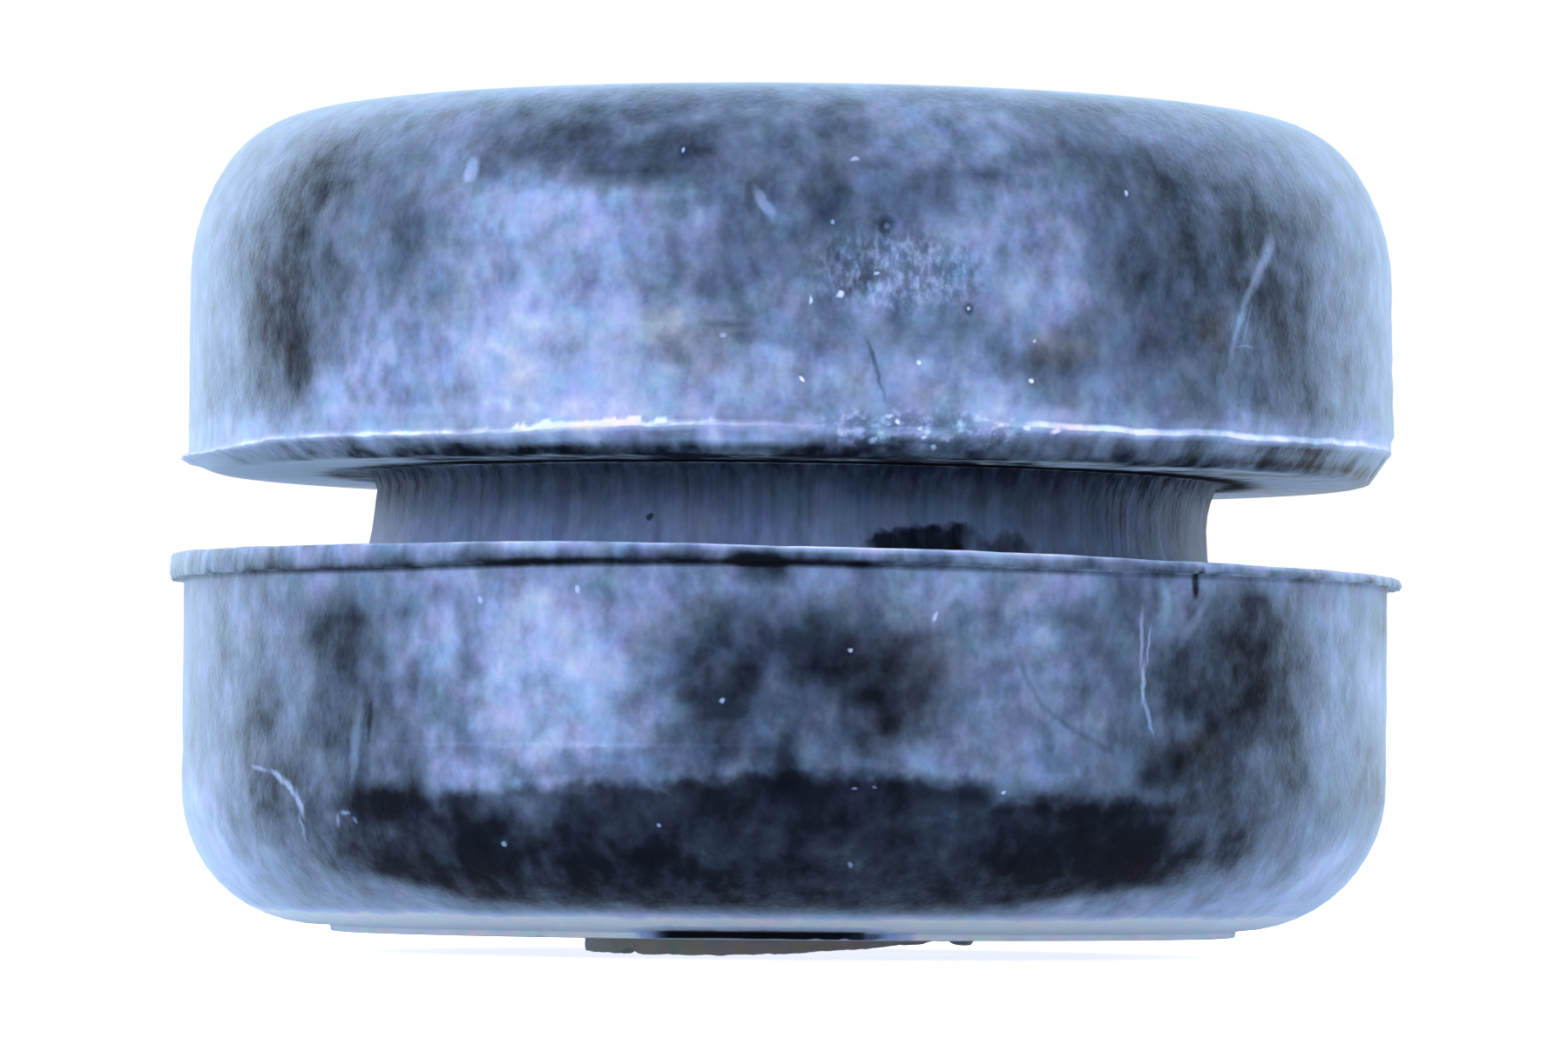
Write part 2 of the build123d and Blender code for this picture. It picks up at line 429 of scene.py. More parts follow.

# Patches of the bloom film
# Where wax bloomed thickly and where handling wiped it thin, kept as one value for each point of
# the skin. Each patch is the turn and height of its middle, half its width and height in
# millimetres, its lean to the left in degrees, the softness of its edge and the film's change.
# The broad thick patches left of the front, from turns of about -33 to -10 on both lobes, are partly
# painted highlight of the front-left lamp, with a crisp top edge on the upper lobe and a crisp foot on
# the lower. The two long thin ones at a height of 1.2 mm are painted reflection of the white table.
thick_and_highlight_patches = (
    (-22, 18.6, 2.7, 2.0, 0, 0.3, 0.14),
    (-13, 19.0, 1.6, 1.4, 0, 0.5, 0.08),
    (-30, 16.2, 3.2, 1.2, 0, 0.5, 0.10),
    (-24, 20.3, 2.2, 0.35, 0, 0.4, 0.06),
    (-21, 15.9, 3.0, 1.2, 0, 0.5, 0.11),
    (-15, 17.4, 1.4, 0.6, 0, 0.5, 0.10),
    (-44, 15.3, 1.4, 0.8, 0, 0.5, 0.10),
    (-41.5, 15.8, 1.2, 1.8, 0, 0.5, 0.13),
    (-50, 17.2, 0.6, 1.2, 0, 0.5, 0.05),
    (-16, 15.2, 1.8, 1.2, 0, 0.5, 0.08),
    (-24.5, 15.0, 1.2, 0.8, 0, 0.5, 0.07),
    (-8, 17.3, 1.0, 0.6, 0, 0.5, 0.12),
    (-8, 14.9, 1.4, 0.8, 0, 0.5, 0.08),
    (-5, 15.5, 3.4, 0.9, 0, 0.5, 0.10),
    (10, 15.4, 3.0, 0.9, 0, 0.5, 0.09),
    (15.5, 15.2, 1.4, 1.2, 0, 0.5, 0.10),
    (22, 19.0, 2.4, 1.6, 0, 0.6, 0.09),
    (24.5, 18.4, 1.2, 1.0, 0, 0.5, 0.08),
    (0, 20.7, 1.0, 0.5, 0, 0.5, 0.08),
    (15.5, 21.7, 1.2, 0.5, 0, 0.5, 0.09),
    (14, 22.6, 1.6, 0.4, 0, 0.5, 0.05),
    (-24, 9.0, 1.7, 1.4, 0, 0.6, 0.15),
    (-21, 6.7, 3.0, 1.4, 0, 0.5, 0.12),
    (-25.5, 6.8, 1.5, 1.9, 0, 0.6, 0.09),
    (-33.3, 8.1, 0.8, 0.8, 0, 0.5, 0.08),
    (-20, 5.35, 3.8, 0.40, 0, 0.4, 0.10),
    (-15.5, 8.6, 1.4, 1.0, 0, 0.5, 0.07),
    (-33, 8.5, 1.0, 0.8, 0, 0.5, 0.05),
    (-8, 8.1, 0.8, 0.6, 0, 0.5, 0.06),
    (-0.5, 6.1, 0.5, 0.3, 0, 0.5, 0.06),
    (15, 5.4, 1.1, 0.5, 0, 0.5, 0.03),
    (13.5, 9.6, 1.6, 0.5, 0, 0.5, 0.06),
    (22, 8.2, 1.4, 0.8, 0, 0.5, 0.05),
    (23.5, 9.2, 0.9, 0.7, 0, 0.5, 0.07),
    (36.5, 9.3, 0.5, 0.7, 0, 0.5, 0.12),
    (-25, 4.3, 1.2, 0.3, 0, 0.6, 0.06),
    (-24.5, 3.4, 0.6, 0.3, 0, 0.5, 0.12),
    (-28.5, 19.5, 1.3, 0.5, 0, 0.6, 0.06),
    (-18.5, 18.6, 0.7, 0.6, 0, 0.6, 0.07),
    (-1.5, 18.9, 1.0, 1.2, 0, 0.6, 0.09),
    (6.8, 17.85, 0.5, 0.5, 0, 0.6, 0.10),
    (13.5, 17.7, 1.2, 0.6, 0, 0.6, 0.06),
    (-12, 16.9, 1.4, 0.5, 0, 0.6, 0.06),
    (-28.5, 14.8, 1.7, 0.4, 0, 0.6, 0.07),
    (0, 14.8, 1.6, 0.3, 0, 0.6, 0.05),
    (49, 19.4, 0.8, 0.8, 0, 0.6, 0.09),
    (33.5, 20.2, 1.0, 1.2, 0, 0.6, 0.05),
    (-36, 9.7, 0.8, 0.5, 0, 0.6, 0.06),
    (-20, 9.95, 3.6, 0.25, 0, 0.6, 0.05),
    (-10, 7.75, 1.1, 0.5, 0, 0.6, 0.07),
    (-43.5, 6.2, 0.5, 0.9, 0, 0.6, 0.08),
    (35, 6.9, 0.6, 0.8, 0, 0.6, 0.05),
    (-76, 2.6, 3.2, 2.0, 0, 0.6, 0.18),
    (72, 2.0, 4.2, 1.5, 0, 0.6, 0.22),
    (45, 1.25, 7.0, 0.35, 0, 0.8, 0.12),
    (-48, 1.2, 6.0, 0.35, 0, 0.8, 0.07),
    (-20, 20.2, 0.8, 0.6, 0, 0.6, 0.06),
    (-9.5, 20.0, 0.5, 0.5, 0, 0.6, 0.06),
    (-11, 21.5, 0.6, 0.4, 0, 0.6, 0.05),
    (-2.8, 15.8, 1.0, 0.7, 0, 0.6, 0.07),
    (-4.5, 14.6, 0.6, 0.4, 0, 0.6, 0.05),
    (13, 18.5, 1.2, 0.5, 0, 0.6, 0.05),
    (-18.5, 5.25, 2.6, 0.22, 0, 0.6, 0.07),
    (5.5, 6.2, 0.9, 0.5, 0, 0.6, 0.13),
    (-0.8, 5.9, 0.5, 0.5, 0, 0.6, 0.06),
    (40, 4.4, 0.8, 0.5, 0, 0.6, 0.06),
    (-24, 2.7, 1.8, 0.4, 0, 0.6, 0.05),
    (-17, 8.8, 0.6, 0.6, 0, 0.6, 0.05),
    (45.5, 8.5, 0.7, 0.7, 0, 0.6, 0.05),
    (5.5, 20.0, 0.6, 0.5, 0, 0.6, 0.06),
    (-18.5, 15.8, 0.6, 0.5, 0, 0.6, 0.06),
    (-27, 16.9, 1.0, 0.6, 0, 0.6, 0.05),
    (-22.5, 6.3, 0.8, 0.4, 0, 0.6, 0.06),
    (12, 8.5, 1.2, 0.4, 0, 0.6, 0.05),
    (-1.8, 6.5, 0.6, 1.0, 0, 0.6, 0.05),
    (-30.5, 5.2, 1.0, 0.3, 0, 0.6, 0.06),
)
wiped_patches = (
    (-17.5, 21.5, 3.0, 0.75, 0, 0.55, -0.17),
    (-9.5, 21.2, 1.3, 0.5, 0, 0.6, -0.05),
    (-31.5, 17.9, 1.6, 1.2, 0, 0.6, -0.03),
    (-22, 22.1, 1.0, 0.4, 0, 0.6, -0.07),
    (-15, 18.6, 0.8, 0.5, 0, 0.6, -0.06),
    (17.3, 19.0, 1.0, 0.5, 0, 0.6, -0.06),
    (-7, 17.3, 1.0, 0.5, 0, 0.6, -0.04),
    (-3, 14.4, 1.2, 0.3, 0, 0.6, -0.08),
    (38, 14.4, 2.4, 0.3, 0, 0.6, -0.06),
    (47, 15.4, 0.8, 0.5, 0, 0.6, -0.05),
    (-48, 15.9, 0.8, 0.5, 0, 0.6, -0.07),
    (-41, 21.6, 1.2, 0.4, 0, 0.6, -0.05),
    (-40, 9.0, 0.8, 0.5, 0, 0.6, -0.08),
    (-12.5, 8.9, 0.9, 0.5, 0, 0.6, -0.08),
    (3.3, 7.7, 0.8, 0.5, 0, 0.6, -0.09),
    (-37.5, 6.4, 1.2, 0.6, 0, 0.6, -0.08),
    (36, 5.3, 1.2, 0.9, 0, 0.6, -0.07),
    (-31, 1.5, 2.0, 0.3, 0, 0.6, -0.07),
    (17, 17.6, 0.8, 0.5, 0, 0.6, -0.09),
    (-5.5, 17.2, 0.8, 0.5, 0, 0.6, -0.07),
    (-40, 19.2, 1.0, 1.0, 0, 0.6, -0.05),
    (-56, 21.3, 1.2, 0.6, 0, 0.6, -0.05),
    (-24, 17.2, 0.6, 0.4, 0, 0.6, -0.05),
    (57, 20.8, 1.0, 0.7, 0, 0.6, -0.05),
    (-32, 9.3, 0.8, 0.5, 0, 0.6, -0.05),
    (-46, 9.6, 1.0, 0.6, 0, 0.6, -0.05),
    (-46.5, 7.9, 0.8, 0.5, 0, 0.6, -0.05),
    (-14.5, 7.4, 0.7, 0.5, 0, 0.6, -0.06),
    (-5, 7.9, 0.8, 0.6, 0, 0.6, -0.05),
    (2, 8.4, 0.8, 0.6, 0, 0.6, -0.04),
    (10.5, 7.2, 0.8, 0.6, 0, 0.6, -0.05),
    (-6, 6.3, 0.8, 0.4, 0, 0.6, -0.06),
    (37.7, 8.7, 0.7, 0.6, 0, 0.6, -0.09),
    (38, 7.1, 0.6, 0.7, 0, 0.6, -0.07),
    (51, 9.8, 1.2, 0.5, 0, 0.6, -0.08),
    (27.5, 5.6, 1.2, 0.5, 0, 0.6, -0.07),
    (20, 4.35, 1.6, 0.3, 0, 0.6, -0.08),
    (2.5, 4.8, 0.7, 0.4, 0, 0.6, -0.09),
    (60, 2.9, 1.4, 0.6, 0, 0.6, -0.07),
    (-46.5, 3.2, 1.0, 0.5, 0, 0.6, -0.08),
    (-57, 3.3, 1.0, 0.6, 0, 0.6, -0.06),
    (-39, 4.4, 0.8, 0.4, 0, 0.6, -0.06),
    (26, 1.75, 1.6, 0.3, 0, 0.6, -0.06),
    (5, 7.3, 4.0, 1.6, 0, 0.8, -0.03),
    (-13.5, 19.7, 0.6, 0.8, 0, 0.6, -0.08),
    (-11, 15.65, 2.5, 0.4, 0, 0.6, -0.11),
    (-2.5, 21.95, 1.8, 0.4, 0, 0.6, -0.10),
    (12.5, 21.4, 0.6, 0.6, 0, 0.6, -0.08),
    (25, 21.5, 0.9, 0.6, 0, 0.6, -0.10),
    (2.2, 20.3, 0.6, 1.0, 0, 0.6, -0.10),
    (37, 19.2, 1.0, 0.6, 0, 0.6, -0.05),
    (42, 16.9, 0.5, 0.6, 0, 0.6, -0.07),
    (33, 16.0, 1.0, 1.0, 0, 0.6, -0.05),
    (39.5, 14.7, 1.4, 0.35, 0, 0.6, -0.08),
    (12.5, 14.1, 1.2, 0.4, 0, 0.6, -0.07),
    (-13, 14.1, 3.2, 0.3, 0, 0.6, -0.05),
    (-29, 8.4, 0.5, 1.3, 20, 0.6, -0.12),
    (-27, 6.2, 1.3, 0.5, 0, 0.6, -0.15),
    (-49, 7.6, 0.9, 1.0, 0, 0.6, -0.05),
    (-13.5, 8.6, 0.6, 0.5, 0, 0.6, -0.06),
    (-50, 5.4, 1.2, 0.8, 0, 0.6, -0.05),
    (1.3, 5.25, 0.6, 0.5, 0, 0.6, -0.13),
    (-3, 5.8, 0.7, 0.4, 0, 0.6, -0.07),
    (27.5, 8.8, 0.7, 0.5, 0, 0.6, -0.10),
    (16, 7.0, 3.0, 1.4, 0, 0.8, -0.04),
    (40, 2.9, 1.2, 0.5, 0, 0.6, -0.06),
    (48.5, 3.4, 0.9, 0.9, 0, 0.6, -0.15),
    (47.5, 5.0, 0.8, 0.6, 0, 0.6, -0.05),
    (-40, 2.6, 3.4, 0.55, 0, 0.8, -0.09),
    (-33.5, 2.2, 2.0, 0.5, 0, 0.8, -0.09),
    (-53, 3.9, 0.6, 0.5, 0, 0.6, -0.07),
    (-27, 20.9, 1.0, 0.4, 0, 0.5, -0.07),
    (-15, 22.9, 5.0, 0.35, 0, 0.5, -0.07),
    (4, 22.6, 1.6, 0.35, 0, 0.5, -0.05),
    (-54, 18.6, 2.4, 3.0, 6, 0.6, -0.13),
    (-55, 17.3, 1.5, 1.8, 0, 0.6, -0.09),
    (-52.5, 20.6, 1.2, 1.2, 0, 0.5, -0.08),
    (-51, 16.0, 0.7, 0.9, 0, 0.5, -0.13),
    (-48, 21.3, 1.6, 0.8, -20, 0.5, -0.12),
    (-40, 19.2, 2.6, 1.5, 0, 0.6, -0.04),
    (-40, 20.8, 1.2, 1.2, 0, 0.5, -0.07),
    (-46.5, 18.0, 0.6, 1.4, 0, 0.5, -0.04),
    (-10.5, 16.5, 1.6, 0.6, 0, 0.5, -0.08),
    (-16, 18.0, 1.2, 1.0, 0, 0.5, -0.08),
    (-4, 18.4, 1.8, 0.8, 0, 0.5, -0.07),
    (2, 20.0, 2.6, 1.4, 0, 0.5, -0.10),
    (5, 19.6, 1.2, 0.6, 0, 0.5, -0.06),
    (15, 17.0, 1.3, 0.6, 0, 0.5, -0.08),
    (16, 20.5, 1.2, 0.6, 0, 0.5, -0.08),
    (38, 19.0, 4.0, 2.6, 0, 0.5, -0.12),
    (37, 18.9, 1.5, 0.9, 0, 0.5, -0.06),
    (31, 21.8, 1.8, 0.6, 0, 0.5, -0.09),
    (34, 20.7, 1.6, 0.9, 0, 0.5, -0.08),
    (47, 20.8, 1.4, 1.0, 0, 0.5, -0.08),
    (45, 19.6, 1.3, 1.4, 0, 0.5, -0.06),
    (24, 16.0, 1.4, 0.6, 0, 0.5, -0.06),
    (54, 18.5, 1.8, 3.0, 0, 0.6, -0.17),
    (55, 14.8, 1.8, 0.9, 0, 0.5, -0.08),
    (42, 16.0, 3.2, 1.1, 0, 0.6, -0.08),
    (-45.5, 8.7, 1.1, 0.95, 0, 0.4, -0.20),
    (-44.5, 6.6, 1.0, 1.6, 0, 0.5, -0.15),
    (-41.6, 7.2, 0.8, 2.4, 0, 0.5, -0.10),
    (-41.6, 4.2, 0.9, 0.6, 0, 0.5, -0.11),
    (-50.5, 9.3, 0.7, 0.6, 0, 0.5, -0.08),
    (-50.5, 5.4, 0.8, 0.8, 0, 0.5, -0.09),
    (-57, 5.6, 1.1, 1.6, 0, 0.5, -0.13),
    (-57, 7.5, 1.0, 1.3, 0, 0.5, -0.10),
    (-37, 5.2, 0.8, 0.9, 0, 0.5, -0.10),
    (-6.2, 7.5, 1.2, 1.7, 0, 0.5, -0.18),
    (-1.5, 7.4, 0.8, 1.6, 0, 0.6, -0.08),
    (-8, 5.5, 1.3, 0.6, 0, 0.5, -0.15),
    (0, 9.2, 1.0, 0.5, 0, 0.5, -0.07),
    (5.0, 8.4, 2.0, 0.85, 0, 0.4, -0.17),
    (10.8, 7.4, 1.1, 1.2, 15, 0.5, -0.14),
    (4.5, 6.7, 1.3, 0.6, 0, 0.5, -0.12),
    (7.6, 6.0, 1.3, 1.1, 0, 0.5, -0.13),
    (-0.5, 5.2, 0.8, 0.6, 0, 0.5, -0.13),
    (-10, 7.4, 0.8, 1.2, 0, 0.6, -0.06),
    (31, 9.2, 1.6, 0.6, 0, 0.5, -0.10),
    (33, 8.1, 0.9, 0.7, 0, 0.5, -0.09),
    (33, 5.9, 0.9, 1.2, 0, 0.5, -0.08),
    (29, 4.2, 2.2, 0.4, 0, 0.5, -0.13),
    (33, 2.9, 1.2, 0.8, 0, 0.5, -0.10),
    (43, 7.6, 2.3, 1.8, 0, 0.5, -0.19),
    (45, 7.4, 1.4, 1.6, 0, 0.5, -0.09),
    (48, 9.2, 1.4, 0.9, 0, 0.5, -0.11),
    (52, 6.5, 1.4, 3.0, 0, 0.5, -0.11),
    (55, 6.5, 1.2, 3.5, 0, 0.5, -0.08),
    (40, 5.1, 2.0, 0.8, 0, 0.5, -0.16),
    (42, 3.6, 1.8, 1.2, 0, 0.6, -0.14),
    (44, 2.8, 1.3, 0.8, 0, 0.5, -0.08),
    (-53, 4.0, 1.5, 1.0, 0, 0.5, -0.10),
    (-1.8, 10.3, 1.2, 0.22, 0, 0.7, -0.22),
    (4, 10.3, 1.2, 0.16, 0, 0.7, -0.08),
    (33.5, 10.15, 0.8, 0.3, 0, 0.6, -0.10),
    (46.5, 9.9, 0.9, 0.4, 0, 0.6, -0.12),
)
# The hidden side has soft patches of its own, placed by a fixed seed
hidden_count = 44
hidden_seed = 11
hidden = np.random.default_rng(hidden_seed)
hidden_patches = tuple(
    (
        hidden.uniform(72, 288),
        hidden.uniform(3, 22),
        hidden.uniform(1.2, 4),
        hidden.uniform(0.8, 2.2),
        0,
        0.6,
        hidden.uniform(-0.15, 0.12),
    )
    for count in range(hidden_count)
)
# Two sizes of noise push the places about, so that no patch keeps a smooth oval edge
edge_seed = 4
spots = [Vector(spot) for spot in xyz.reshape(-1, 3).tolist()]
wall_arc = np.degrees(turn) * arc_per_degree + 0 * skin[:, 1]
wall_height = skin[:, 1] / mm
noise.seed_set(edge_seed)
for fineness, reach in ((0.35, 0.45), (1.1, 0.22)):
    pushes = np.array([noise.noise_vector(spot * (fineness / mm)) for spot in spots])
    wall_arc = wall_arc + reach * pushes[:, 0].reshape(wall_arc.shape)
    wall_height = wall_height + reach * pushes[:, 2].reshape(wall_arc.shape)
film_patches = np.zeros(wall_arc.shape)
whole_turn = 360 * arc_per_degree
for patch in thick_and_highlight_patches + wiped_patches + hidden_patches:
    turn_at, height_at, half_width, half_height, lean, soft, change = patch
    over = (wall_arc - turn_at * arc_per_degree + whole_turn / 2) % whole_turn - whole_turn / 2
    up = wall_height - height_at
    level = cos(radians(lean))
    tilt = sin(radians(lean))
    away = np.hypot((over * level + up * tilt) / half_width, (up * level - over * tilt) / half_height)
    share = np.clip((1 + soft - away) / (2 * soft), 0, 1)
    film_patches += change * share**2 * (3 - 2 * share)
for name, values in (("film_change", skin[:, 2]), ("film_patches", film_patches)):
    attribute = mesh.attributes.new(name, "FLOAT", "POINT")
    attribute.data.foreach_set("value", values.ravel().astype(np.float32))
bushing = bpy.data.objects.new("bushing_skin", mesh)
bpy.context.scene.collection.objects.link(bushing)

# Bloomed rubber
# Black rubber whose waxes have bloomed to the surface as a matt blue-grey film. Handling has wiped
# the film off in patches, left it thick in others, and scratched it. The film also carries painted
# highlight, shade and reflection, said where each is added.


class Wire:
    """An output in a node tree. Sums on it add Math nodes, and node() adds any other node."""

    def __init__(self, tree, output=None):
        self.tree = tree
        self.output = output

    def node(self, kind, settings=(), inputs=(), output=0):
        """Add a node, set its settings, then fill its sockets with values or links."""
        made = self.tree.nodes.new("ShaderNode" + kind)
        for name, value in dict(settings).items():
            if name == "stops":
                while len(made.color_ramp.elements) < len(value):
                    made.color_ramp.elements.new(1)
                for element, (place, colour) in zip(made.color_ramp.elements, value):
                    element.position = place
                    element.color = (*colour, 1)
            else:
                setattr(made, name, value)
        for name, value in dict(inputs).items():
            if isinstance(value, Wire):
                self.tree.links.new(value.output, made.inputs[name])
            else:
                made.inputs[name].default_value = value
        return Wire(self.tree, made.outputs[output] if made.outputs else None)

    def maths(self, operation, *values):
        return self.node("Math", {"operation": operation}, dict(enumerate(values)))

    def vector(self, operation, *values, output=0):
        return self.node("VectorMath", {"operation": operation}, dict(enumerate(values)), output)

    def blend(self, other, share):
        return self.node("Mix", {"data_type": "RGBA"}, {0: share, 6: self, 7: other}, output=2)

    def step(self, low, high, to_low=0.0, to_high=1.0):
        sockets = {0: self, 1: low, 2: high, 3: to_low, 4: to_high}
        return self.node("MapRange", {"interpolation_type": "SMOOTHSTEP"}, sockets)

    def __add__(self, other):
        return self.maths("ADD", self, other)

    def __sub__(self, other):
        return self.maths("SUBTRACT", self, other)

    def __rsub__(self, other):
        return self.maths("SUBTRACT", other, self)

    def __mul__(self, other):
        return self.maths("MULTIPLY", self, other)

    __radd__ = __add__

    def other(self, output):
        """Another output of the same node."""
        return Wire(self.tree, self.output.node.outputs[output])


rubber = bpy.data.materials.new("bloomed_rubber")
rubber.use_nodes = True
rubber.node_tree.nodes.clear()
blank = Wire(rubber.node_tree)
place = blank.node("TexCoord", output=3)
place = place.node("VectorMath", {"operation": "SCALE"}, {0: place, "Scale": 1 / mm})
across = place.node("SeparateXYZ", (), {0: place})
height = across.other(2)
arc = across.maths("ARCTAN2", across, 0 - across.other(1)) * wall_radius
wall = arc.node("CombineXYZ", (), {0: arc, 1: height})


def clouds(scale, detail=3.0, roughness=0.5, stretch=(1, 1, 1), colour=False):
    """Noise through the rubber, with scale in features per millimetre."""
    if stretch != (1, 1, 1):
        where = place.vector("MULTIPLY", place, stretch)
    else:
        where = place
    sockets = {"Vector": where, "Scale": scale, "Detail": detail, "Roughness": roughness}
    return place.node("TexNoise", (), sockets, output=int(colour))


def push_about(surface, scale, amount, detail=2.0):
    """The same surface places, pushed about by noise by up to the amount in millimetres."""
    swirl = clouds(scale, detail, colour=True)
    push = swirl.vector("MULTIPLY_ADD", swirl, (2 * amount, 2 * amount, 0), (-amount, -amount, 0))
    return surface.vector("ADD", surface, push)


def stripe(surface, turns, heights, fade=0.2, rise=0.2):
    """Area between two turns and two heights, with edges that fade out over so many millimetres."""
    parts = surface.node("SeparateXYZ", (), {0: surface})
    first, last = (turn_at * arc_per_degree for turn_at in turns)
    foot, head = heights
    sides = parts.step(first - fade, first + fade) * parts.step(last + fade, last - fade)
    level = parts.other(1)
    return sides * level.step(foot - rise, foot + rise) * level.step(head + rise, head - rise)


# Places on the wall, pushed about far for soft stains and a little for scratches
loose = push_about(push_about(wall, 0.35, 0.8), 1.6, 0.45)
tight = push_about(wall, 2.5, 0.1)

# The film as it bloomed: an even coat with a fine grain, coarser where patches are thick
even_film = 0.42
patches = blank.node("Attribute", {"attribute_name": "film_patches"}, output=2)
grain = (clouds(0.6, 2.0, 0.55) - 0.5) * 0.46 + (clouds(2.2, 2.0, 0.5, (1, 1, 0.7)) - 0.5) * 0.26
grain = grain + (clouds(7.0, 1.0) - 0.5) * 0.07
film = even_film + (clouds(0.16, 3.0) - 0.5) * 0.12 + grain * (patches * 1.6 + 0.98)
film = film + patches * (clouds(1.4, 2.0, 0.6) * 0.7 + 0.65)


def add_marks(film, surface, marks):
    """Thicken or thin the film by soft-edged ovals, each leant by so many degrees to the left."""
    for turn_at, height_at, half_width, half_height, lean, soft, change in marks:
        level = cos(radians(lean))
        tilt = sin(radians(lean))
        middle_arc = turn_at * arc_per_degree
        over = level * middle_arc + tilt * height_at
        up = level * height_at - tilt * middle_arc
        local = surface
        if lean:
            sideways_part = surface.vector("DOT_PRODUCT", surface, (level, tilt, 0), output=1)
            upright_part = surface.vector("DOT_PRODUCT", surface, (-tilt, level, 0), output=1)
            local = surface.node("CombineXYZ", (), {0: sideways_part, 1: upright_part})
        size = (1 / half_width, 1 / half_height, 0)
        local = local.vector("MULTIPLY_ADD", local, size, (-over / half_width, -up / half_height, 0))
        film = film + local.vector("LENGTH", local, output=1).step(1 + soft, 1 - soft, 0.0, change)
    return film


# The dark band round the lower shoulder, which faces down, is painted shade with a ragged top edge
band_shade_film = 0.148
ragged = push_about(push_about(wall, 0.3, 0.45), 1.8, 0.28)
band = stripe(ragged, (-33, -8), (0, 4.56), 0.6, 0.26)
band = band.maths("MAXIMUM", band, stripe(ragged, (-11, 19), (0, 4.86), 0.6, 0.26))
band = band.maths("MAXIMUM", band, stripe(ragged, (-46, -29), (0, 4.35), 1.8, 0.5) * 0.87)
band = band.maths("MAXIMUM", band, stripe(ragged, (14, 40), (0, 4.3), 1.6, 0.3))
band_foot = arc.maths("ABSOLUTE", arc + 0.5).step(5.5, 15.5, 1.38, 2.3)
band = band * (height - band_foot + (clouds(0.9, 3.0) - 0.5) * 0.3).step(-0.27, 0.27)
# Painted shade: inside the band the film falls to a dark level
band_shade = band_shade_film + (film - even_film) * 0.7
film = film + (band_shade - film) * band
band_marks = (
    (-31.4, 3.6, 1.0, 0.7, 0, 0.5, -0.06),
    (-13, 2.5, 4.0, 0.6, 0, 0.5, -0.04),
    (27, 2.9, 2.4, 0.9, 0, 0.5, -0.06),
    (-24, 4.0, 1.6, 0.6, 0, 0.5, 0.07),
)
film = add_marks(film, loose, band_marks)
# Painted reflection: the edge of the land and the foot of the lower shoulder, below about 1.4 mm, are
# made pale as if lit by the white table
film = film + height.step(1.36, 0.94) * 0.8
# The pale line of film above the knife's bevel
all_round = (-200, 200)
film = film + stripe(ragged, all_round, (13.9, 14.75), 1.0, 0.25) * 0.10
# The groove. The waist is painted darker towards its head as shade under the upper lobe, and
# darker to the right and at its left end, with upright streaks from the bracket and two darker stains
groove = stripe(wall, all_round, (10.9, 14.2), 1.0, 0.05)
from_axis = across.maths("SQRT", across * across + across.other(1) * across.other(1))
waist = from_axis.step(14.0, 12.6)
streaks = clouds(3.5, 3.0, 0.6, (1, 1, 0.06)) - 0.5
shaded_waist_film = height.step(13.6, 11.2, 0.235, 0.54) + streaks * 0.25 + (clouds(1.2, 4.0, 0.6) - 0.5) * 0.2
shaded_waist_film = shaded_waist_film - stripe(loose, (12, 100), (10, 14.2), 2.0, 0.5) * 0.07
shaded_waist_film = shaded_waist_film - stripe(wall, (35, 100), (10, 12.1), 2.0, 0.6) * 0.10
shaded_waist_film = shaded_waist_film - stripe(wall, (-100, -57), (12.1, 14.2), 0.8, 0.4) * 0.07
shaded_waist_film = shaded_waist_film - stripe(loose, (10.6, 24), (10.7, 11.75), 0.35, 0.12) * 0.34
shaded_waist_film = shaded_waist_film - stripe(loose, (25, 34), (10.7, 11.5), 0.5, 0.16) * 0.2
shaded_waist_film = shaded_waist_film + streaks * stripe(wall, (46, 68), (11, 13.5), 0.6, 0.3) * 0.25
film = film + (shaded_waist_film - film) * waist * groove

